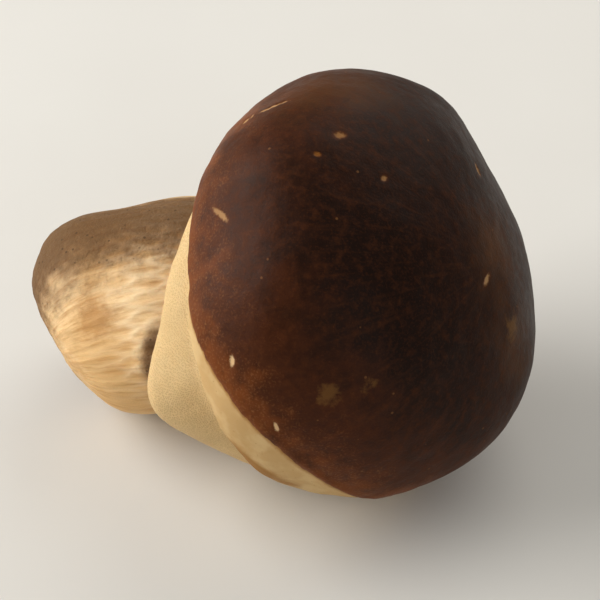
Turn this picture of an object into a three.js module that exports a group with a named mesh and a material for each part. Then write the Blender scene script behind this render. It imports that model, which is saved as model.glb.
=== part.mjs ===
// A whole porcini mushroom (Boletus edulis), picked and lying on its side: one fruit body, in millimetres,
// +Z up. The base of the stem points to -X and the cap to +X. The cap's lower edge, the tube layer under it
// and the stem's bulb rest on Z = 0.
//
// The fruit body is worked out upright first: the cap's axis is +Z, Z = 0 is the mean level of the cap's
// lip, and directions round the axis are in degrees from +X. It is one closed skin of rings that runs from
// the top of the cap over its edge, across the tube layer and down the stem to its base.

import * as THREE from 'three';

const SIDES = 96; // points in a ring

const CAP = {
  radius: 40,
  domeHeight: 30, // from the widest ring up to the top
  domePower: 2.15, // 2 is an ellipse, more is fuller
  edgeDepth: 11.5, // from the widest ring down to the lip
  edgeRoll: 5, // how far the edge curls in on its way down
  domeRings: 20,
  edgeRings: 6,
  colour: 0x4a2416,
};
const EDGE_DEEPER = { share: 0.18, toward: -87 }; // the side where the cap's edge hangs lowest
const CAP_LOBES = [ // how the cap's outline departs from a circle
  { count: 2, share: 0.025, toward: 75 },
  { count: 3, share: 0.008, toward: 20 },
];

const TUBES = {
  furrowWidth: 1.5, // the furrow between the lip and the cushion of tubes
  furrowDepth: 0.8,
  bulge: 8.5, // how far the cushion stands out below the lip
  bulgeSkew: 0.74, // 1 puts the thickest place halfway to the stem, less puts it nearer the lip
  bulgePower: 0.76, // 1 is a sine's hump, less is fuller
  innerLevel: -3.5, // the height at which the cushion meets the stem
  lipFade: 1.5, // more makes the lip's own level count less towards the stem
  stemPull: 3, // more keeps the shift towards the stem's rim closer to the stem
  stemGap: 0.5, // the tubes end this far out from the stem
  rings: 10,
  colour: 0xd8c08a,
};
const TUBES_FULLER = { share: 0.8, toward: -65 }; // the side where the cushion is thickest

const STEM = {
  topRadius: 17.2,
  bulbRadius: 20.8,
  bulbAt: 0.56, // where the bulb is widest, as a share of the stem's length
  basePower: 2.9, // 2 is a round end, more is blunter
  ovalShare: 0.025,
  ovalToward: 40,
  levelUntil: 0.3, // its rings are level at its top and square to its line from this share of its length on
  rings: 24,
  ringSpread: 1.3, // 1 spaces the rings evenly, more gathers them at the base
  colour: 0xb98d58,
};
const STEM_OFF_AXIS = new THREE.Vector3(-1, 0.5, 0); // how far the stem's top stands from the cap's axis
const STEM_LINE = new THREE.QuadraticBezierCurve3(
  STEM_OFF_AXIS.clone().setZ(TUBES.innerLevel),
  new THREE.Vector3(-5.3, 1.6, -27.3),
  new THREE.Vector3(-8, -12, -48),
);

// The raised net on the stem: two sets of ridges that wind opposite ways.
const NET = {
  ridges: 16, // in each set, round the stem
  turn: 13, // along the stem, from one crossing to the next
  height: 0.55,
  startsBy: 0.1, // shares of the stem's length
  fadesFrom: 0.25,
  fadesBy: 0.65,
};

// Broad swells (lift above 0) and dips (lift below 0). out is the share of the cap's radius at which the
// middle of each lies, and along the share of the way from the lip to the stem or down the stem.
const CAP_SWELLS = [
  { toward: 86, out: 0.62, width: 19, lift: -2.3 },
  { toward: 102, out: 0.92, width: 10, lift: 1.5 },
  { toward: -86, out: 0.99, width: 12, lift: -1.6 },
  { toward: -16, out: 0.67, width: 15, lift: 1.8 },
  { toward: -176, out: 0.98, width: 11, lift: 1.4 },
  { toward: -120, out: 0.45, width: 10, lift: -0.7 },
  { toward: 30, out: 0.85, width: 12, lift: -0.6 },
];
const TUBES_SWELLS = [{ toward: -109, along: 0.39, width: 9, lift: 5.6 }];
const STEM_SWELLS = [
  { toward: 150, along: 0.85, width: 12, lift: 2.4 },
  { toward: -130, along: 0.78, width: 12, lift: -0.7 },
  { toward: -60, along: 0.45, width: 12, lift: -0.5 },
];

// The small unevenness all over: pairs of crossed waves that are slow and don't repeat together.
const UNEVENNESS = 0.3; // height of each pair
const UNEVEN_WAVES = [ // axis, mm for each radian and radians at the origin
  [{ axis: 'x', pace: 6.1, start: 1.3 }, { axis: 'y', pace: 7.3, start: 0.7 }],
  [{ axis: 'y', pace: 5.2, start: 2.1 }, { axis: 'z', pace: 6.7, start: 0.4 }],
  [{ axis: 'z', pace: 4.9, start: 0.9 }, { axis: 'x', pace: 8.3, start: 2.6 }],
];

// How it lies: it is rolled about its own axis, laid over, and pressed down on its resting places.
const LIE = { roll: 15.4, over: 62.7, press: 0.8 };

// What swells and waves push straight away from.
const CAP_HEART = new THREE.Vector3(0, 0, CAP.edgeDepth / 2);
const BULB_HEART_AT = 0.78; // past this share of its length the stem's round end shares one heart

const { degToRad, smoothstep, lerp } = THREE.MathUtils;

// 1 on the side that faces the given direction, -1 on the far side
const facing = (around, toward, count = 1) => Math.cos(count * (around - degToRad(toward)));

const edgeDepth = (around) => CAP.edgeDepth * (1 + EDGE_DEEPER.share * facing(around, EDGE_DEEPER.toward));

// A point of the cap or the tubes, from its distance to the axis and its height.
function capPoint(around, radius, height) {
  const lobes = CAP_LOBES.reduce(
    (sum, lobe) => sum + lobe.share * facing(around, lobe.toward, lobe.count), 0);
  const r = radius * (1 + (radius / CAP.radius) ** 2 * lobes);
  return new THREE.Vector3(r * Math.cos(around), r * Math.sin(around), height);
}

// along runs from 0 at the top of the cap to 1 at its widest ring
function domePoint(along, around) {
  const angle = along * Math.PI / 2;
  const power = 2 / CAP.domePower;
  const height = CAP.domeHeight * Math.max(Math.cos(angle), 0) ** power;
  return capPoint(around, CAP.radius * Math.sin(angle) ** power, CAP.edgeDepth + height);
}

// along runs from 0 at the widest ring to 1 at the lip
function edgePoint(along, around) {
  const angle = along * Math.PI / 2;
  const radius = CAP.radius - CAP.edgeRoll * (1 - Math.cos(angle));
  return capPoint(around, radius, CAP.edgeDepth - edgeDepth(around) * Math.sin(angle));
}

// along runs from 0 in the furrow behind the lip to 1 at the stem, whose rim the cushion follows there
function tubesPoint(along, around) {
  const outer = CAP.radius - CAP.edgeRoll - TUBES.furrowWidth;
  const inner = STEM.topRadius + TUBES.stemGap;
  const lip = CAP.edgeDepth - edgeDepth(around);
  const bulge = TUBES.bulge * (1 + TUBES_FULLER.share * facing(around, TUBES_FULLER.toward));
  const hump = Math.max(Math.sin(Math.PI * along ** TUBES.bulgeSkew), 0) ** TUBES.bulgePower;
  const base = lip * (1 - along) ** TUBES.lipFade + lerp(TUBES.furrowDepth, TUBES.innerLevel, along);
  return capPoint(around, lerp(outer, inner, along), base - bulge * hump)
    .addScaledVector(STEM_OFF_AXIS, along ** TUBES.stemPull);
}

// along runs from 0 under the cap to 1 at the base of the stem
function stemPoint(along, around) {
  const end = Math.max((along - STEM.bulbAt) / (1 - STEM.bulbAt), 0);
  const taper = Math.max(1 - end ** STEM.basePower, 0) ** (1 / STEM.basePower);
  const swell = lerp(STEM.topRadius, STEM.bulbRadius, smoothstep(along, 0, STEM.bulbAt));
  const oval = 1 + STEM.ovalShare * facing(around, STEM.ovalToward, 2);
  const radius = swell * taper * oval + netHeight(along, around);
  const direction = new THREE.Vector3(0, 0, -1)
    .lerp(STEM_LINE.getTangent(along), smoothstep(along, 0, STEM.levelUntil))
    .normalize();
  const across = new THREE.Vector3(1, 0, 0).addScaledVector(direction, -direction.x).normalize();
  const side = new THREE.Vector3().crossVectors(across, direction);
  return STEM_LINE.getPoint(along)
    .addScaledVector(across, radius * Math.cos(around))
    .addScaledVector(side, radius * Math.sin(around));
}

function netHeight(along, around) {
  const strength = smoothstep(along, 0, NET.startsBy) * (1 - smoothstep(along, NET.fadesFrom, NET.fadesBy));
  const twist = Math.PI * along * STEM_LINE.getLength() / NET.turn;
  const turned = NET.ridges * around;
  const crest = (phase) => (0.5 + 0.5 * Math.cos(phase)) ** 2;
  return NET.height * strength * Math.max(crest(turned + twist), crest(turned - twist));
}

function unevenness(point) {
  const wave = ({ axis, pace, start }) => Math.sin(point[axis] / pace + start);
  return UNEVENNESS * UNEVEN_WAVES.reduce((sum, [one, other]) => sum + wave(one) * wave(other), 0);
}

const domeAlong = (out) => Math.asin(out ** (CAP.domePower / 2)) / (Math.PI / 2);
const swells = [
  ...CAP_SWELLS.map((swell) => (
    { ...swell, middle: domePoint(domeAlong(swell.out), degToRad(swell.toward)) })),
  ...TUBES_SWELLS.map((swell) => (
    { ...swell, middle: tubesPoint(swell.along, degToRad(swell.toward)) })),
  ...STEM_SWELLS.map((swell) => (
    { ...swell, middle: stemPoint(swell.along, degToRad(swell.toward)) })),
];

function withSwells(point, heart) {
  const lift = swells.reduce(
    (sum, swell) => sum + swell.lift * Math.exp(-((point.distanceTo(swell.middle) / swell.width) ** 2)),
    unevenness(point));
  return point.addScaledVector(point.clone().sub(heart).normalize(), lift);
}

const capHeart = () => CAP_HEART;
const stemHeart = (along) => STEM_LINE.getPoint(Math.min(along, BULB_HEART_AT));

// Rings of points with their colour, for the steps first to last out of count.
function ringsOf(pointAt, heartAt, colour, count, first, last, spread = 1) {
  return Array.from({ length: last - first + 1 }, (_, i) => {
    const along = 1 - (1 - (first + i) / count) ** spread;
    const points = Array.from({ length: SIDES }, (__, side) => (
      withSwells(pointAt(along, side * 2 * Math.PI / SIDES), heartAt(along))));
    return { points, colour };
  });
}

// One closed skin over the rings, with a fan of triangles at each end.
function skinGeometry(top, rings, base) {
  const points = [top, ...rings.flatMap((ring) => ring.points), base];
  const shades = [rings[0], ...rings.flatMap((ring) => ring.points.map(() => ring)), rings.at(-1)];
  const at = (ring, side) => 1 + ring * SIDES + side % SIDES;
  const lastRing = rings.length - 1;
  const index = [];
  for (let side = 0; side < SIDES; side += 1) {
    index.push(0, at(0, side), at(0, side + 1));
    for (let ring = 0; ring < lastRing; ring += 1) {
      const [a, b] = [at(ring, side), at(ring, side + 1)];
      const [c, d] = [at(ring + 1, side), at(ring + 1, side + 1)];
      index.push(a, c, d, a, d, b);
    }
    index.push(points.length - 1, at(lastRing, side + 1), at(lastRing, side));
  }
  const geometry = new THREE.BufferGeometry().setFromPoints(points);
  geometry.setIndex(index);
  geometry.setAttribute('color', new THREE.Float32BufferAttribute(
    shades.flatMap((ring) => new THREE.Color(ring.colour).toArray()), 3));
  return geometry;
}

// Lays the upright skin on its side, middles it over the origin and presses it flat where it rests on Z = 0.
function layDown(geometry) {
  geometry.rotateZ(degToRad(LIE.roll));
  geometry.rotateY(degToRad(LIE.over));
  geometry.computeBoundingBox();
  const { min, max } = geometry.boundingBox;
  geometry.translate(-(min.x + max.x) / 2, -(min.y + max.y) / 2, -min.z - LIE.press);
  const position = geometry.getAttribute('position');
  for (let i = 0; i < position.count; i += 1) position.setZ(i, Math.max(position.getZ(i), 0));
  geometry.computeVertexNormals();
  return geometry;
}

const rings = [
  ...ringsOf(domePoint, capHeart, CAP.colour, CAP.domeRings, 1, CAP.domeRings),
  ...ringsOf(edgePoint, capHeart, CAP.colour, CAP.edgeRings, 1, CAP.edgeRings),
  ...ringsOf(tubesPoint, capHeart, TUBES.colour, TUBES.rings, 0, TUBES.rings),
  ...ringsOf(stemPoint, stemHeart, STEM.colour, STEM.rings, 1, STEM.rings - 1, STEM.ringSpread),
];
const top = withSwells(domePoint(0, 0), CAP_HEART);
const base = withSwells(STEM_LINE.getPoint(1), stemHeart(1));

const fruitBody = new THREE.Mesh(
  layDown(skinGeometry(top, rings, base)),
  new THREE.MeshStandardMaterial({ vertexColors: true, roughness: 0.55, metalness: 0 }),
);
fruitBody.name = 'fruit_body';

const porcini = new THREE.Group();
porcini.name = 'porcini';
porcini.add(fruitBody);

export default porcini;
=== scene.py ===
"""A whole porcini mushroom (Boletus edulis), picked and lying on its side on a pale floor.

The fruit body is one closed skin. Its form follows the formulas of the solid that it replaces, and on
top of that it carries the finer relief: the edge of the brown skin, wrinkles, scars, the net and fibres
of the stem. One material colours it from what the skin knows about each of its points.

Lengths are in millimetres until the mesh is made. The form is worked out upright first: the cap's axis is
+Z, Z = 0 is the mean level of the cap's lip, and directions round the axis are in degrees from +X.
"""

import math

import bpy
import numpy as np
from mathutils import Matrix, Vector, noise


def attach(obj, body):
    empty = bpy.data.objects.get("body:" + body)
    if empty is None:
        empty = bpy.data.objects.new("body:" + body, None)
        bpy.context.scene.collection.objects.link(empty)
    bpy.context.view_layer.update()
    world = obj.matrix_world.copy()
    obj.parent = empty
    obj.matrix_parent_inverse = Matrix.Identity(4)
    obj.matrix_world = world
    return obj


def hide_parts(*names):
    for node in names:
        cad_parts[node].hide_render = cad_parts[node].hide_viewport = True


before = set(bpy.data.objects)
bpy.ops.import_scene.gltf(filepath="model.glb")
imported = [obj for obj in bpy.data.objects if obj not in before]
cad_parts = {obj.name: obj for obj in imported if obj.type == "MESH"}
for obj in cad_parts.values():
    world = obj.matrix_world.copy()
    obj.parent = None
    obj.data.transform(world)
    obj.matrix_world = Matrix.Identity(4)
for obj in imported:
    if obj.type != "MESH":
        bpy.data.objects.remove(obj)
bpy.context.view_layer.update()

MM = 0.001  # metres
SIDES = 384  # points in a ring

# --- The sizes of the form, as in the solid ------------------------------------------------------------

CAP_RADIUS = 40
DOME_HEIGHT = 30  # from the widest ring up to the top
DOME_POWER = 2.15  # 2 is an ellipse, more is fuller
EDGE_DEPTH = 11.5  # from the widest ring down to the lip
EDGE_ROLL = 5  # how far the edge curls in on its way down
EDGE_DEEPER = {"share": 0.18, "toward": -87}  # the side where the cap's edge hangs lowest
CAP_LOBES = [(2, 0.025, 75), (3, 0.008, 20)]  # count, share and toward

FURROW_WIDTH = 1.5  # the furrow between the lip and the cushion of tubes
FURROW_DEPTH = 0.8
TUBES_BULGE = 8.5  # how far the cushion stands out below the lip
TUBES_SKEW = 0.74  # 1 puts the thickest place halfway to the stem, less puts it nearer the lip
TUBES_POWER = 0.76  # 1 is a sine's hump, less is fuller
TUBES_INNER_LEVEL = -3.5  # the height at which the cushion meets the stem
TUBES_LIP_FADE = 1.5  # more makes the lip's own level count less towards the stem
TUBES_STEM_PULL = 3  # more keeps the shift towards the stem's rim closer to the stem
TUBES_FULLER = {"share": 0.8, "toward": -65}  # the side where the cushion is thickest

STEM_TOP_RADIUS = 17.2
STEM_GAP = 0.5  # the tubes end this far out from the stem
BULB_RADIUS = 20.8
BULB_AT = 0.56  # where the bulb is widest, as a share of the stem's length
BASE_POWER = 2.9  # 2 is a round end, more is blunter
STEM_OVAL = {"share": 0.025, "toward": 40}
STEM_LEVEL_UNTIL = 0.3  # its rings are level at its top and square to its line from this share on
STEM_OFF_AXIS = np.array([-1, 0.5, 0])  # how far the stem's top stands from the cap's axis
STEM_LINE = np.array([(*STEM_OFF_AXIS[:2], TUBES_INNER_LEVEL), (-5.3, 1.6, -27.3), (-8, -12, -48)])

# Broad swells (lift above 0) and dips (lift below 0): toward, place, width and lift. The place is a share of
# the cap's radius, of the way from the lip to the stem, or of the way down the stem.
CAP_SWELLS = [
    (86, 0.62, 19, -2.3),
    (102, 0.92, 10, 1.5),
    (-86, 0.99, 12, -1.6),
    (-16, 0.67, 15, 1.8),
    (-176, 0.98, 11, 1.4),
    (-120, 0.45, 10, -0.7),
    (30, 0.85, 12, -0.6),
]
TUBES_SWELLS = [(-109, 0.39, 9, 5.6)]
STEM_SWELLS = [(150, 0.85, 12, 2.4), (-130, 0.78, 12, -0.7), (-60, 0.45, 12, -0.5)]

# The small unevenness all over: pairs of crossed waves that are slow and don't repeat together.
UNEVENNESS = 0.3  # height of each pair
UNEVEN_WAVES = [  # axis, mm for each radian and radians at the origin
    ((0, 6.1, 1.3), (1, 7.3, 0.7)),
    ((1, 5.2, 2.1), (2, 6.7, 0.4)),
    ((2, 4.9, 0.9), (0, 8.3, 2.6)),
]

# What swells and waves push straight away from.
CAP_HEART = np.array([0, 0, EDGE_DEPTH / 2])
BULB_HEART_AT = 0.78  # past this share of its length the stem's round end shares one heart

# How it lies: it is rolled about its own axis, laid over, and pressed down on its resting places.
LIE_ROLL, LIE_OVER = 15.4, 62.7
LIE_PRESS = 0.8

# How finely the skin is drawn.
DOME_RINGS, EDGE_RINGS, TUBES_RINGS, STEM_RINGS = 84, 22, 42, 108
STEM_RING_SPREAD = 1.3  # 1 spaces the rings evenly, more gathers them at the base

# --- Its marks -----------------------------------------------------------------------------------------

# The brown skin ends in the cap's edge. It stops short where the edge faces SKIN_SHORT, and the cream
# flesh shows there as a crescent. Ends are shares of the way down the edge.
SKIN_ENDS = (0.912, -0.05)
SKIN_SHORT = -55
SKIN_TAPER = 1.7  # more makes the crescent narrower round the edge

# Where the brown skin is rubbed through: toward, mm down the skin from the top of the cap, length and width
# in mm, slant from the meridian in degrees, and tone from 0, tan, to 1, cream.
SCUFFS = [
    (-162, 57.5, 4.6, 1.2, -37, 0.3),
    (162, 54, 5.5, 0.9, 22, 0.45),
    (166, 59.5, 1.5, 1.0, 60, 0.4),
    (-124, 58.2, 2.0, 1.1, 70, 1.0),
    (-104, 54.8, 2.4, 0.9, 78, 0.9),
    (172, 38, 2.0, 1.5, 40, 0.15),
    (-179, 40.5, 1.2, 0.9, 0, 0.0),
    (180, 28, 1.3, 1.0, 70, 0.2),
    (107, 20, 2.2, 1.2, 10, 0.35),
    (-91, 3, 2.4, 1.1, 0, 0.4),
    (20, 45, 4.0, 1.4, -50, 0.45),
    (48, 30, 1.6, 1.1, 30, 0.3),
    (-22, 51, 2.4, 1.5, 80, 0.6),
    (72, 54, 5.0, 1.6, 65, 0.35),
]
SCUFF_SLOPE = (0.5, 1.3)  # a scuff fades between these shares of its radius
SCUFF_REACH = 2.5  # and past this many of its radii it isn't looked for
FAR_OFF = (0.0, 0.0, 40.0)  # straight out, so that nothing halfway to it looks nearer to the scuff

# Soft patches of another tone: toward, mm down the skin from the top of the cap or from the top of the stem,
# radius in mm and strength.
OCHRE_ON_CAP = [(-24, 13, 3.5, 0.9), (-109, 43, 3.0, 0.9), (-106, 35.5, 2.6, 0.7), (45, 47, 6, 0.5)]
# The dark patches are painted shade: darker places on the cap that stand in for its shading, not its own
# colour.
SHADE_ON_CAP = [
    (-150, 30, 15, 0.8),
    (-105, 24, 13, 0.7),
    (-60, 30, 12, 0.6),
    (120, 20, 11, 0.5),
    (20, 28, 13, 0.4),
]
TAWNY_ON_CAP = [
    (144, 43, 9, 0.5),
    (158, 50, 9, 0.35),
    (90, 4, 9, 0.55),
    (-25, 17, 9, 0.45),
    (60, 50, 12, 0.4),
]
GOLD_ON_FLESH = [(-97, 69.5, 3, 0.8), (-91, 67, 3, 0.9), (-85, 65, 3, 0.9), (-78, 63.5, 3, 0.9)]
# The two patches on the stem's upper side are partly real browning and partly painted shade.
BROWN_AND_SHADE_ON_STEM = [(165, 14, 13, 1.0), (165, 36, 15, 1.1), (60, 30, 10, 0.4)]
# Painted shade: a dark strip on the stem in its crease under the cushion of tubes.
SHADE_IN_CREASE = [(-124, 15, 2.5, 0.5), (-117, 16.5, 2.7, 0.8), (-109, 18.5, 2.7, 0.8), (-101, 21, 2.5, 0.5)]
TAN_ON_STEM = [(-137, 27, 4.5, 1.0), (-110, 38, 4, 0.5), (-80, 22, 5, 0.5), (110, 18, 6, 0.5)]

# --- Its relief, in mm ---------------------------------------------------------------------------------

SKIN_THICKNESS = 0.3
SKIN_STEP = (-0.25, 0.55)  # the brown skin comes to its thickness over this way in from its edge
SKIN_RIM = {"height": 0.18, "inside": 0.9, "width": 0.7}  # it is drawn up along its edge
CAP_STARTS = (-0.2, 1.5)  # the cap's own relief sets in over this way in from the skin's edge
MARGIN_WIDTH = 7  # the cap's fibres show this far in
SCUFF_DEPTH = 0.2
CREASE_WIDTH = 3  # the relief of the tubes and of the stem fades out towards the crease between them
BASE_STARTS = (32, 50)  # the earthy base sets in over this way down the stem

# Waves of relief: height, distance from bump to bump, and seed.
SKIN_EDGE_WAVES = [(0.9, 6, 0), (0.35, 1.9, 5)]  # these move the skin's edge up and down
CAP_WAVES = [(0.2, 12, 2), (0.1, 4.5, 3), (0.05, 2, 4)]
MARGIN_FIBRES = [(0.2, 3.2, 8)]
TUBES_WAVES = [(0.3, 7, 6), (0.1, 2.2, 7)]
STEM_WAVES = [(0.35, 9, 9)]
STEM_FIBRES = [(0.1, 2.4, 10), (0.14, 1.1, 12)]
BASE_WAVES = [(0.45, 6.5, 13), (0.2, 2.2, 14), (0.08, 1, 15)]
FIBRE_STRETCH = 0.12  # how slowly the fibres change along themselves
CAP_FIBRE_RADIUS = 0.8 * CAP_RADIUS  # the cap's fibres lie side by side round a circle of this radius

# The raised net on the stem: two sets of ridges that wind opposite ways.
NET_RIDGES = 44  # in each set, round the stem
NET_TURN = 5.6  # along the stem, from one crossing to the next
NET_HEIGHT = 0.22
NET_FADES = (12, 34)  # mm down the stem
NET_WOBBLE = {"apart": 5, "seed": 11, "twist": 1.3, "fade": 5}  # radians of twist, mm of the fade
NET_SWAY = {"apart": 4, "seed": 17, "turn": 1.1}  # radians round the stem

FULL_TURN = 2 * math.pi
AROUND = np.arange(SIDES) * FULL_TURN / SIDES
COLUMNS = np.arange(SIDES)


def smoothstep(x, start, end):
    t = np.clip((x - start) / (end - start), 0, 1)
    return t * t * (3 - 2 * t)


def facing(around, toward, count=1):
    """1 on the side that faces the given direction, -1 on the far side. count repeats it round the axis."""
    return np.cos(count * (around - math.radians(toward)))


# --- The form ------------------------------------------------------------------------------------------


def edge_depth(around):
    return EDGE_DEPTH * (1 + EDGE_DEEPER["share"] * facing(around, EDGE_DEEPER["toward"]))


def cap_point(around, radius, height):
    """Points of the cap or the tubes, from their distance to the axis and their height."""
    lobes = sum(share * facing(around, toward, count) for count, share, toward in CAP_LOBES)
    r = radius * (1 + (radius / CAP_RADIUS) ** 2 * lobes)
    return np.stack([r * np.cos(around), r * np.sin(around), height + 0 * around], -1)


def dome_point(along, around):
    """along runs from 0 at the top of the cap to 1 at its widest ring."""
    angle = along * math.pi / 2
    power = 2 / DOME_POWER
    height = DOME_HEIGHT * max(math.cos(angle), 0) ** power
    return cap_point(around, CAP_RADIUS * math.sin(angle) ** power, EDGE_DEPTH + height)


def edge_point(along, around):
    """along runs from 0 at the widest ring to 1 at the lip."""
    angle = along * math.pi / 2
    radius = CAP_RADIUS - EDGE_ROLL * (1 - math.cos(angle))
    return cap_point(around, radius, EDGE_DEPTH - edge_depth(around) * math.sin(angle))


def tubes_point(along, around):
    """along runs from 0 in the furrow behind the lip to 1 at the stem, whose rim the tubes follow there."""
    outer = CAP_RADIUS - EDGE_ROLL - FURROW_WIDTH
    inner = STEM_TOP_RADIUS + STEM_GAP
    bulge = TUBES_BULGE * (1 + TUBES_FULLER["share"] * facing(around, TUBES_FULLER["toward"]))
    hump = max(math.sin(math.pi * along**TUBES_SKEW), 0) ** TUBES_POWER
    lip = EDGE_DEPTH - edge_depth(around)
    base = lip * (1 - along) ** TUBES_LIP_FADE + FURROW_DEPTH * (1 - along) + TUBES_INNER_LEVEL * along
    upright = cap_point(around, outer + (inner - outer) * along, base - bulge * hump)
    return upright + STEM_OFF_AXIS * along**TUBES_STEM_PULL


def stem_line(along):
    a, b, c = STEM_LINE
    return (1 - along) ** 2 * a + 2 * along * (1 - along) * b + along**2 * c


def stem_direction(along):
    """What the stem's ring is square to: straight down at its top, and the stem's own line further on."""
    a, b, c = STEM_LINE
    tangent = (1 - along) * (b - a) + along * (c - b)
    tangent /= np.linalg.norm(tangent)
    direction = np.array([0, 0, -1.0])
    direction += (tangent - direction) * smoothstep(along, 0, STEM_LEVEL_UNTIL)
    return direction / np.linalg.norm(direction)


def stem_point(along, around):
    """along runs from 0 under the cap to 1 at the base of the stem."""
    end = max((along - BULB_AT) / (1 - BULB_AT), 0)
    taper = max(1 - end**BASE_POWER, 0) ** (1 / BASE_POWER)
    swell = STEM_TOP_RADIUS + (BULB_RADIUS - STEM_TOP_RADIUS) * smoothstep(along, 0, BULB_AT)
    oval = 1 + STEM_OVAL["share"] * facing(around, STEM_OVAL["toward"], 2)
    radius = (swell * taper * oval)[:, None]
    direction = stem_direction(along)
    across = np.array([1.0, 0, 0]) - direction * direction[0]
    across /= np.linalg.norm(across)
    side = np.cross(across, direction)
    outward = across * np.cos(around)[:, None] + side * np.sin(around)[:, None]
    return stem_line(along) + radius * outward


def unevenness(p):
    def wave(axis, pace, start):
        return np.sin(p[..., axis] / pace + start)

    return UNEVENNESS * sum(wave(*one) * wave(*other) for one, other in UNEVEN_WAVES)


def swell_middles():
    for toward, out, width, lift in CAP_SWELLS:
        along = math.asin(out ** (DOME_POWER / 2)) / (math.pi / 2)
        yield dome_point(along, np.radians([toward]))[0], width, lift
    for toward, along, width, lift in TUBES_SWELLS:
        yield tubes_point(along, np.radians([toward]))[0], width, lift
    for toward, along, width, lift in STEM_SWELLS:
        yield stem_point(along, np.radians([toward]))[0], width, lift


SWELLS = list(swell_middles())


def with_swells(p, heart):
    lift = unevenness(p)
    for middle, width, height in SWELLS:
        lift = lift + height * np.exp(-((np.linalg.norm(p - middle, axis=-1) / width) ** 2))
    out = p - heart
    return p + out / np.linalg.norm(out, axis=-1, keepdims=True) * lift[..., None]


def rings_of(point_at, heart_at, count, first, last, spread=1.0):
    """Rings of points, for the steps first to last out of count."""
    rings = []
    for step in range(first, last + 1):
        along = 1 - (1 - step / count) ** spread
        rings.append(with_swells(point_at(along, AROUND), heart_at(along)))
    return rings


def cap_heart(_along):
    return CAP_HEART


def stem_heart(along):
    return stem_line(min(along, BULB_HEART_AT))


def lay_down(points):
    """Rolls the upright points about the cap's axis, lays them over and sets them down over the origin."""
    roll, over = math.radians(LIE_ROLL), math.radians(LIE_OVER)
    x = points[..., 0] * math.cos(roll) - points[..., 1] * math.sin(roll)
    y = points[..., 0] * math.sin(roll) + points[..., 1] * math.cos(roll)
    z = points[..., 2]
    laid = np.stack([x * math.cos(over) + z * math.sin(over), y, z * math.cos(over) - x * math.sin(over)], -1)
    low, high = laid.min(0), laid.max(0)
    return laid - [*(low + high)[:2] / 2, low[2] + LIE_PRESS]


top = with_swells(dome_point(0, np.zeros(1)), CAP_HEART)
base = with_swells(stem_line(1)[None], stem_heart(1))
skin = np.array(
    rings_of(dome_point, cap_heart, DOME_RINGS, 1, DOME_RINGS)
    + rings_of(edge_point, cap_heart, EDGE_RINGS, 1, EDGE_RINGS)
    + rings_of(tubes_point, cap_heart, TUBES_RINGS, 0, TUBES_RINGS)
    + rings_of(stem_point, stem_heart, STEM_RINGS, 1, STEM_RINGS - 1, STEM_RING_SPREAD)
)
WIDEST = DOME_RINGS - 1  # rows of skin
LIP = WIDEST + EDGE_RINGS
TUBES_END = LIP + 1 + TUBES_RINGS

# --- What the skin knows about each point, in mm -------------------------------------------------------


def flat(grid, at_top, at_base):
    """A grid of values as a list of vertices, with the top first and the base last."""
    grid = np.broadcast_to(grid, skin.shape[:2] + grid.shape[2:])
    return np.concatenate([[at_top], grid.reshape((-1, *grid.shape[2:])), [at_base]])


def waves(points, apart, seed):
    """Smooth noise, about -0.7 to 0.7, whose bumps are that many mm apart."""
    scaled = points / apart + seed
    return np.array([noise.noise(Vector(p)) for p in scaled])


def layered(points, layers):
    return sum(height * waves(points, apart, seed) for height, apart, seed in layers)


steps = np.diff(skin, axis=0, prepend=np.broadcast_to(top, (1, SIDES, 3)))
down = np.cumsum(np.linalg.norm(steps, axis=2), axis=0)  # from the top of the cap, along the skin
down_to_base = down[-1].mean()


def skin_end():
    """How far down the brown skin ends, in each column."""
    bared = smoothstep((0.5 + 0.5 * facing(AROUND, SKIN_SHORT)) ** SKIN_TAPER, 0, 1)
    full_end, short_end = SKIN_ENDS
    row = WIDEST + (full_end + (short_end - full_end) * bared) * EDGE_RINGS
    low = np.floor(row).astype(int)
    return down[low, COLUMNS] + (down[low + 1, COLUMNS] - down[low, COLUMNS]) * (row - low)


def below(level):
    """How far each point lies below a level, given by its distance down the skin in each column."""
    return flat(down - level, -level.mean(), down_to_base - level.mean())


points = np.concatenate([top, skin.reshape(-1, 3), base])
in_skin = -below(skin_end()) + layered(points, SKIN_EDGE_WAVES)  # above 0 on the brown skin
past_lip = below(down[LIP])
on_stem = below(down[TUBES_END])


def place(toward, mm_down, from_row=None):
    """A point of the skin and its directions down the skin and round it."""
    column = round(toward % 360 / 360 * SIDES) % SIDES
    start = 0 if from_row is None else down[from_row, column]
    row = np.searchsorted(down[:, column], start + mm_down)
    down_skin = skin[row + 1, column] - skin[row - 1, column]
    round_it = skin[row, (column + 1) % SIDES] - skin[row, column - 1]
    return skin[row, column], *(v / np.linalg.norm(v) for v in (down_skin, round_it))


# The way from the middle of the nearest scuff, in its radii along it, across it and outward, so that its
# length is 1 on the scuff's edge.
scuff = np.tile(FAR_OFF, (len(points), 1))
scuff_tone = np.zeros(len(points))
for toward, mm_down, length, width, slant, tone in SCUFFS:
    middle, down_skin, round_it = place(toward, mm_down)
    cos, sin = math.cos(math.radians(slant)), math.sin(math.radians(slant))
    long_way = down_skin * cos + round_it * sin
    short_way = round_it * cos - down_skin * sin
    outward = np.cross(long_way, short_way)
    axes = np.stack([long_way * 2 / length, short_way * 2 / width, outward * 2 / width], 1)
    offset = (points - middle) @ axes
    nearest = np.linalg.norm(offset, axis=1) < np.minimum(np.linalg.norm(scuff, axis=1), SCUFF_REACH)
    scuff[nearest] = offset[nearest]
    scuff_tone[nearest] = tone


def patches(listed, from_row=None):
    total = np.zeros(len(points))
    for toward, mm_down, radius, strength in listed:
        gap = np.linalg.norm(points - place(toward, mm_down, from_row)[0], axis=1)
        total += strength * np.exp(-((gap / radius) ** 2))
    return total


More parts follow.
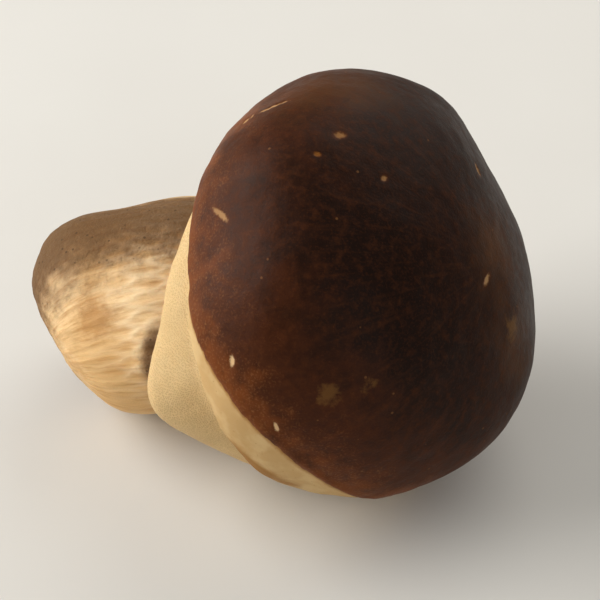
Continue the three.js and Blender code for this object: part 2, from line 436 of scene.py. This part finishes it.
# Coordinates that run slowly along the fibres and fast across them.
side_way = flat(np.stack([np.cos(AROUND), np.sin(AROUND)], -1)[None], (1.0, 0), (1.0, 0))
fibre_radius = np.where(on_stem > 0, STEM_TOP_RADIUS, CAP_FIBRE_RADIUS)[:, None]
along_fibres = flat(down, 0, down_to_base)[:, None]
fibres = np.concatenate([side_way * fibre_radius, along_fibres * FIBRE_STRETCH], 1)

# The tubes spread flat round the stem, for their pores.
from_axis = STEM_TOP_RADIUS + np.maximum(-on_stem, 0)[:, None]
spread_flat = np.concatenate([side_way * from_axis, 0 * from_axis], 1)

# --- Relief --------------------------------------------------------------------------------------------

cap_share = smoothstep(in_skin, *CAP_STARTS)
stem_share = smoothstep(on_stem, 0, CREASE_WIDTH)
tubes_share = (1 - cap_share) * smoothstep(-on_stem, 0, CREASE_WIDTH)
base_share = smoothstep(on_stem, *BASE_STARTS)


def net_pattern():
    """The stem's net: 1 on its ridges where it is strongest, 0 between them."""
    angle = flat(AROUND[None, :], 0, 0)
    wobble = waves(points, NET_WOBBLE["apart"], NET_WOBBLE["seed"])
    sway = NET_SWAY["turn"] * waves(points, NET_SWAY["apart"], NET_SWAY["seed"])
    twist = np.pi * on_stem / NET_TURN + NET_WOBBLE["twist"] * wobble
    ridges = [(0.5 + 0.5 * np.cos(NET_RIDGES * angle + sway + way * twist)) ** 2 for way in (1, -1)]
    fade = 1 - smoothstep(on_stem + NET_WOBBLE["fade"] * wobble, *NET_FADES)
    return np.maximum(*ridges) * stem_share * fade


net = net_pattern()


def relief():
    """How far each point is lifted off the form."""
    rim = SKIN_RIM["height"] * np.exp(-(((in_skin - SKIN_RIM["inside"]) / SKIN_RIM["width"]) ** 2))
    margin = np.exp(-((in_skin / MARGIN_WIDTH) ** 2))
    sunken = 1 - smoothstep(np.linalg.norm(scuff, axis=1), *SCUFF_SLOPE)
    lift = SKIN_THICKNESS * smoothstep(in_skin, *SKIN_STEP) + rim
    lift += cap_share * layered(points, CAP_WAVES)
    lift += cap_share * margin * layered(fibres, MARGIN_FIBRES)
    lift -= cap_share * SCUFF_DEPTH * sunken
    lift += tubes_share * layered(points, TUBES_WAVES)
    lift += stem_share * layered(points, STEM_WAVES)
    lift += stem_share * (1 - base_share) * layered(fibres, STEM_FIBRES)
    lift += base_share * layered(points, BASE_WAVES)
    return lift + NET_HEIGHT * net


# --- The mesh ------------------------------------------------------------------------------------------


def faces():
    """Triangles between the rings, with a fan at each end."""
    a, b = 1 + COLUMNS, 1 + (COLUMNS + 1) % SIDES  # neighbours in the first ring
    found = [np.stack([np.zeros_like(a), a, b], 1)]
    for _ in range(len(skin) - 1):
        c, d = a + SIDES, b + SIDES  # the same in the next ring
        found += [np.stack([a, c, d], 1), np.stack([a, d, b], 1)]
        a, b = c, d
    found.append(np.stack([np.full_like(a, len(points) - 1), b, a], 1))
    return np.concatenate(found)


laid = lay_down(points)
mesh = bpy.data.meshes.new("porcini")
mesh.from_pydata((laid * MM).tolist(), [], faces().tolist())
normals = np.empty(laid.size)
mesh.vertex_normals.foreach_get("vector", normals)
laid += normals.reshape(-1, 3) * relief()[:, None]
laid[:, 2] = np.maximum(laid[:, 2], 0)  # pressed flat where it rests
mesh.vertices.foreach_set("co", (laid * MM).ravel())
mesh.shade_smooth()

VALUES = {
    "in_skin": in_skin,
    "past_lip": past_lip,
    "on_stem": on_stem,
    "scuff_tone": scuff_tone,
    "ochre": patches(OCHRE_ON_CAP),
    # dark: painted shade on the cap.
    "dark": patches(SHADE_ON_CAP),
    "tawny": patches(TAWNY_ON_CAP),
    "gold": patches(GOLD_ON_FLESH),
    # brown: the stem's brown patches, with painted shade on its upper side and in its crease.
    "brown": patches(BROWN_AND_SHADE_ON_STEM + SHADE_IN_CREASE, TUBES_END),
    "tan": patches(TAN_ON_STEM, TUBES_END),
    "net": net,
}
for name, values in VALUES.items():
    mesh.attributes.new(name, "FLOAT", "POINT").data.foreach_set("value", values)
for name, vectors in {"fibres": fibres, "spread_flat": spread_flat, "scuff": scuff}.items():
    mesh.attributes.new(name, "FLOAT_VECTOR", "POINT").data.foreach_set("vector", vectors.ravel())
mesh.update()

mushroom = bpy.data.objects.new("porcini", mesh)
bpy.context.scene.collection.objects.link(mushroom)
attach(mushroom, "root")
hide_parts("fruit_body")

# --- Materials -----------------------------------------------------------------------------------------


def colour(code):
    """An sRGB colour such as "5a2b1a", in the shader's own linear values."""
    parts = [int(code[i : i + 2], 16) / 255 for i in (0, 2, 4)]
    return [c / 12.92 if c <= 0.04045 else ((c + 0.055) / 1.055) ** 2.4 for c in parts] + [1]


class Shader:
    """A material's nodes, written as formulas. Places and sizes are in millimetres."""

    def __init__(self, name):
        self.material = bpy.data.materials.new(name)
        self.material.use_nodes = True
        self.tree = self.material.node_tree
        self.surface = self.tree.nodes["Principled BSDF"]
        position = self.node("TexCoord", {}, "Object")
        self.where = self.node("VectorMath", {0: position, "Scale": 1 / MM}, operation="SCALE")

    def node(self, kind, inputs, output=0, **settings):
        made = self.tree.nodes.new("ShaderNode" + kind)
        for name, value in settings.items():
            setattr(made, name, value)
        for key, value in inputs.items():
            self.feed(made.inputs[key], value)
        return made.outputs[output]

    def feed(self, socket, value):
        if isinstance(value, bpy.types.NodeSocket):
            self.tree.links.new(value, socket)
        else:
            socket.default_value = value

    def attribute(self, name, output="Fac"):
        return self.node("Attribute", {}, output, attribute_name=name)

    def do(self, operation, a, b=0.0):
        return self.node("Math", {0: a, 1: b}, operation=operation)

    def product(self, *factors):
        total = factors[0]
        for factor in factors[1:]:
            total = self.do("MULTIPLY", total, factor)
        return total

    def sum(self, *terms):
        total = terms[0]
        for term in terms[1:]:
            total = self.do("ADD", total, term)
        return total

    def weighted(self, *weights):
        """The sum of values, each given with its weight."""
        return self.sum(*(self.product(value, weight) for value, weight in weights))

    def ragged(self, value, texture, amount):
        """A value whose edges follow a texture."""
        return self.sum(value, self.product(texture, amount))

    def outside(self, *masks):
        """1 where none of the masks is."""
        return self.sum(1.0, *(self.product(mask, -1.0) for mask in masks))

    def ease(self, value, start, end, low=0.0, high=1.0):
        """Goes from low to high while the value goes from start to end."""
        inputs = {"Value": value, "From Min": start, "From Max": end, "To Min": low, "To Max": high}
        return self.node("MapRange", inputs, interpolation_type="SMOOTHSTEP")

    def mix(self, share, a, b):
        a, b = (colour(c) if isinstance(c, str) else c for c in (a, b))
        return self.node("Mix", {0: share, 6: a, 7: b}, 2, data_type="RGBA")

    def blend(self, share, a, b):
        """Like mix, for plain values."""
        return self.node("Mix", {0: share, 2: a, 3: b})

    def tint(self, under, over, value, start, full, strength=1.0):
        """Lays a colour over another, from nothing where the value is start to its strength at full."""
        if start < full:
            share = self.ease(value, start, full, 0, strength)
        else:
            share = self.ease(value, full, start, strength, 0)
        return self.mix(share, under, over)

    def noise(self, apart, detail=2.0, where=None, roughness=0.5):
        inputs = {"Vector": where or self.where, "Scale": 1 / apart, "Detail": detail, "Roughness": roughness}
        return self.node("TexNoise", inputs)

    def cells(self, apart, output="Distance", where=None, dimensions="3D", randomness=1.0):
        """Distance to the nearest cell's middle, as a share of the spacing, or the cell's random colour."""
        inputs = {"Vector": where or self.where, "Scale": 1 / apart, "Randomness": randomness}
        return self.node("TexVoronoi", inputs, output, voronoi_dimensions=dimensions)

    def dots(self, apart, share, radius, core=0.6):
        """Round dots in that share of the cells, 1 in their cores. radius is a share of the spacing."""
        random = self.node("SeparateColor", {0: self.cells(apart, "Color")})
        chosen = self.do("LESS_THAN", random, share)
        return self.product(chosen, self.ease(self.cells(apart), radius * core, radius, 1, 0))


# --- The mushroom's material ---------------------------------------------------------------------------

CAP_DARKEST, CAP_DARK, CAP_CHESTNUT, CAP_WARM = "160904", "220f06", "43200c", "613213"
CAP_MARGIN, CAP_TAWNY, CAP_OCHRE, CAP_FLECK = "703a14", "5e3a1c", "654520", "80552f"
SCUFF_TAN, SCUFF_CREAM = "80501f", "dcb98a"
FLESH_PALE, FLESH_CREAM, FLESH_OCHRE, FLESH_GOLD = "d6bb8c", "bd9b69", "a9834b", "8c5c20"
TUBES_CREAM, PORE = "d6b785", "8a6630"
STEM_PALE, STEM_CREAM, STEM_BUFF, STEM_TAN = "f6e2bd", "efcf9f", "dcb37b", "b9864d"
STEM_BROWN, STEM_UMBER, SOIL = "755132", "4d3823", "392a1b"

SKIN_BLUR = 0.12  # the brown skin's colour ends over this far either way
STEM_BLUR = 0.4
CAP_DRIFT = 22.0  # how far the cap's broad tones wander, in mm for the noise's whole range
CAP_FLECKS = {"apart": 2.3, "share": 0.1, "radius": 0.14}
FLESH_DOTS = {"apart": 0.9, "share": 0.35, "radius": 0.2}
SOIL_SPECKS = {"apart": 1.3, "share": 0.3, "radius": 0.24}
PORE_SPACING = 0.5
PORE_RIM = (0.12, 0.42)  # a pore fades between these shares of the spacing
PORES_START = (-0.2, 1.6)  # mm past the lip
FIBRES_END = (34, 48)  # mm down the stem
BASE_BROWNS = (32, 56)  # mm down the stem
SURFACE = {
    "Specular IOR Level": 0.09,
    "Subsurface Weight": 0.1,
    "Subsurface Radius": (1.0, 0.45, 0.2),
    "Subsurface Scale": 2 * MM,
}

look = Shader("mushroom")
from_skin_edge, from_lip, from_crease = (look.attribute(name) for name in ("in_skin", "past_lip", "on_stem"))
fibres_at = look.attribute("fibres", "Vector")

# Textures, by the distance in mm from one grain to the next.
fine = look.noise(0.45, 3)
small = look.noise(1.6, 4, roughness=0.6)
medium = look.noise(5, 3)
broad = look.noise(17, 3)
fibreless = look.ease(from_crease, *FIBRES_END)
streaks = look.blend(fibreless, look.noise(1.3, 3, fibres_at), small)
fine_streaks = look.blend(fibreless, look.noise(0.5, 3, fibres_at), fine)

ragged_edge = look.ragged(from_skin_edge, look.sum(fine, -0.5), 0.5)
skin_mask = look.ease(ragged_edge, -SKIN_BLUR, SKIN_BLUR)
stem_mask = look.product(look.ease(from_crease, -STEM_BLUR, STEM_BLUR), look.outside(skin_mask))
flesh_mask = look.outside(skin_mask, stem_mask)

scuff_gap = look.node("VectorMath", {0: look.attribute("scuff", "Vector")}, "Value", operation="LENGTH")
ragged_scuff = look.ragged(look.ragged(scuff_gap, look.sum(small, -0.5), 1.5), look.sum(fine, -0.5), 0.7)
scuffed = look.ease(ragged_scuff, *SCUFF_SLOPE, 1, 0)

spread_at = look.attribute("spread_flat", "Vector")
pore_gap = look.cells(PORE_SPACING, where=spread_at, dimensions="2D", randomness=0.6)
pores = look.product(look.ease(pore_gap, *PORE_RIM, 1, 0), look.ease(from_lip, *PORES_START))
base_brown = look.ease(from_crease, *BASE_BROWNS, 0, 0.8)
# Real browning at the base and in some patches, painted shade on the stem's upper side and in its crease.
brown_and_shade = look.sum(look.ragged(look.attribute("brown"), medium, 0.8), base_brown)
earthy = look.ease(brown_and_shade, 0.6, 1.3)


def cap_colour():
    """Near black in the cap's middle, chestnut round that, orange-brown at its margin, and finely mottled."""
    inward = look.ragged(from_skin_edge, look.sum(medium, broad, -1.0), CAP_DRIFT)
    tone = look.tint(CAP_CHESTNUT, CAP_DARK, inward, 6, 34)
    # Painted shade: the dark patches darken the cap where they lie.
    tone = look.tint(tone, CAP_DARKEST, look.sum(look.attribute("dark"), medium, -0.5), 0.1, 0.9, 0.75)
    tone = look.tint(tone, CAP_MARGIN, inward, 11, -1, 0.9)
    tone = look.tint(tone, CAP_TAWNY, look.ragged(look.attribute("tawny"), medium, 0.6), 0.3, 1.1, 0.6)
    tone = look.tint(tone, CAP_WARM, small, 0.45, 0.75, 0.22)
    tone = look.tint(tone, CAP_DARKEST, small, 0.48, 0.28, 0.3)
    tone = look.tint(tone, CAP_WARM, fine, 0.5, 0.7, 0.14)
    tone = look.tint(tone, CAP_WARM, streaks, 0.52, 0.75, 0.15)
    tone = look.tint(tone, CAP_OCHRE, look.ragged(look.attribute("ochre"), small, 1.4), 1.15, 1.6, 0.75)
    tone = look.mix(look.product(look.dots(**CAP_FLECKS), 0.45), tone, CAP_FLECK)
    margin_flecks = look.product(look.ease(fine, 0.5, 0.68), look.ease(inward, 2, 16, 0.4, 0))
    tone = look.mix(margin_flecks, tone, CAP_FLECK)
    tone = look.tint(tone, CAP_WARM, ragged_scuff, 1.9, 0.9, 0.4)
    bare = look.mix(look.attribute("scuff_tone"), SCUFF_TAN, SCUFF_CREAM)
    return look.mix(look.product(scuffed, 0.85), tone, bare)


def flesh_colour():
    """Warm cream on the flesh below the skin's edge and on the tubes, browner at the lip, with fine pores."""
    tone = look.tint(FLESH_CREAM, TUBES_CREAM, from_lip, -2, 5)
    tone = look.tint(tone, FLESH_OCHRE, look.sum(broad, medium, -0.5), 0.35, 0.75, 0.45)
    tone = look.tint(tone, FLESH_PALE, medium, 0.4, 0.65, 0.5)
    tone = look.mix(look.product(look.dots(**FLESH_DOTS), 0.35), tone, PORE)
    tone = look.tint(tone, FLESH_GOLD, look.ragged(look.attribute("gold"), small, 0.6), 0.4, 1.2, 0.8)
    lip_gap = look.do("ABSOLUTE", look.ragged(from_lip, small, -1.5))
    tone = look.tint(tone, FLESH_GOLD, lip_gap, 2.4, 0.2, 0.6)
    return look.mix(look.product(pores, 0.3), tone, PORE)


def stem_colour():
    """Cream with fine tan streaks and a paler net, browner at its base, darker on its upper side (partly real
    browning, partly painted shade) and in its crease (painted shade).
    """
    tone = look.tint(STEM_CREAM, STEM_BUFF, broad, 0.35, 0.65)
    tone = look.tint(tone, STEM_TAN, streaks, 0.42, 0.72, 0.5)
    tone = look.tint(tone, STEM_TAN, fine_streaks, 0.5, 0.72, 0.45)
    tone = look.mix(look.product(look.attribute("net"), 0.6), tone, STEM_PALE)
    tone = look.tint(tone, STEM_TAN, look.ragged(look.attribute("tan"), small, 0.8), 0.5, 1.3, 0.7)
    # Browner on the brown patches: real browning at the base, painted shade on the upper side and in the
    # crease.
    tone = look.tint(tone, STEM_BROWN, brown_and_shade, 0.5, 1.4, 0.85)
    tone = look.tint(tone, STEM_UMBER, look.ragged(brown_and_shade, small, 1.2), 1.3, 2.2, 0.6)
    tone = look.mix(look.product(look.dots(**SOIL_SPECKS), look.ease(brown_and_shade, 0.7, 1.3), 0.6), tone, SOIL)
    # Painted shade: the stem darkens towards its crease with the tubes.
    return look.tint(tone, STEM_UMBER, from_crease, 4, 0, 0.6)


def mushroom_colour():
    tone = look.mix(stem_mask, flesh_colour(), stem_colour())
    tone = look.tint(tone, FLESH_GOLD, ragged_edge, -1.2, -0.05, 0.75)
    return look.mix(skin_mask, tone, cap_colour())


def mushroom_roughness():
    """The brown skin has a soft sheen that its scuffs don't have. The flesh and the stem are dull."""
    sheen = look.ease(look.sum(small, broad, -1.0), -0.3, 0.3, 0.44, 0.58)
    cap = look.product(skin_mask, look.do("MAXIMUM", sheen, look.product(scuffed, 0.7)))
    return look.sum(cap, look.ease(ragged_edge, -SKIN_BLUR, SKIN_BLUR, 0.65, 0))


def grain():
    """The relief that is too fine for the mesh, in mm."""
    torn = look.product(scuffed, look.sum(0.15, fine))
    cap = look.weighted((fine, 0.05), (small, 0.08), (torn, -0.12))
    soil = look.product(earthy, look.weighted((small, 0.3), (fine, 0.15)))
    stem = look.sum(look.weighted((streaks, 0.12), (fine_streaks, 0.12), (fine, 0.08)), soil)
    flesh = look.weighted((pores, -0.07), (small, 0.08))
    return look.weighted((skin_mask, cap), (stem_mask, stem), (flesh_mask, flesh))


look.feed(look.surface.inputs["Base Color"], mushroom_colour())
look.feed(look.surface.inputs["Roughness"], mushroom_roughness())
grainy = look.node("Bump", {"Height": grain(), "Distance": MM, "Strength": 1.0}, "Normal")
look.feed(look.surface.inputs["Normal"], grainy)
for socket, value in SURFACE.items():
    look.surface.inputs[socket].default_value = value
mesh.materials.append(look.material)

# --- The floor, the light and the camera, in metres ----------------------------------------------------

FLOOR_REACH = 3
FLOOR_TONES = ("d9d8d4", "dededa")
FLOOR_PATCHES = 40  # mm from one to the next
FLOOR_ROUGHNESS = 0.6

CAMERA_AT = (0.1935, -0.4524, 0.4551)
CAMERA_TARGET = (0.0061, -0.0060, 0.0353)
CAMERA_LENS = 206
LIGHTS = [  # name, place, size, watts, colour
    ("key", (-0.72, -0.2, 0.46), 1.0, 11.5, (1.0, 0.97, 0.93)),
    ("fill", (0.68, -0.55, 0.42), 0.9, 2, (1.0, 0.96, 0.91)),
    ("back", (0.15, 0.6, 0.55), 0.9, 3.2, (1.0, 0.94, 0.86)),
]
LIGHTS_TARGET = (0, 0, 0.03)
WORLD_COLOUR = (1.0, 0.98, 0.95, 1)
WORLD_STRENGTH = 0.2


def aimed(thing, place, target):
    thing.location = place
    thing.rotation_euler = (Vector(target) - Vector(place)).to_track_quat("-Z", "Y").to_euler()
    bpy.context.scene.collection.objects.link(thing)
    return thing


floor_shader = Shader("floor")
floor_tone = floor_shader.mix(floor_shader.noise(FLOOR_PATCHES), *FLOOR_TONES)
floor_shader.feed(floor_shader.surface.inputs["Base Color"], floor_tone)
floor_shader.surface.inputs["Roughness"].default_value = FLOOR_ROUGHNESS
floor_corners = [(x * FLOOR_REACH, y * FLOOR_REACH, 0) for x, y in ((-1, -1), (1, -1), (1, 1), (-1, 1))]
floor_mesh = bpy.data.meshes.new("floor")
floor_mesh.from_pydata(floor_corners, [], [(0, 1, 2, 3)])
floor_mesh.materials.append(floor_shader.material)
floor = bpy.data.objects.new("floor", floor_mesh)
bpy.context.scene.collection.objects.link(floor)

for name, at, size, watts, tone in LIGHTS:
    lamp = bpy.data.lights.new(name, "AREA")
    lamp.shape = "DISK"
    lamp.size = size
    lamp.energy = watts
    lamp.color = tone
    aimed(bpy.data.objects.new(name, lamp), at, LIGHTS_TARGET)

world = bpy.data.worlds.new("studio")
world.use_nodes = True
background = world.node_tree.nodes["Background"]
background.inputs["Color"].default_value = WORLD_COLOUR
background.inputs["Strength"].default_value = WORLD_STRENGTH
bpy.context.scene.world = world
bpy.context.scene.view_settings.view_transform = "Standard"

lens = bpy.data.cameras.new("camera")
lens.lens = CAMERA_LENS
bpy.context.scene.camera = aimed(bpy.data.objects.new("camera", lens), CAMERA_AT, CAMERA_TARGET)
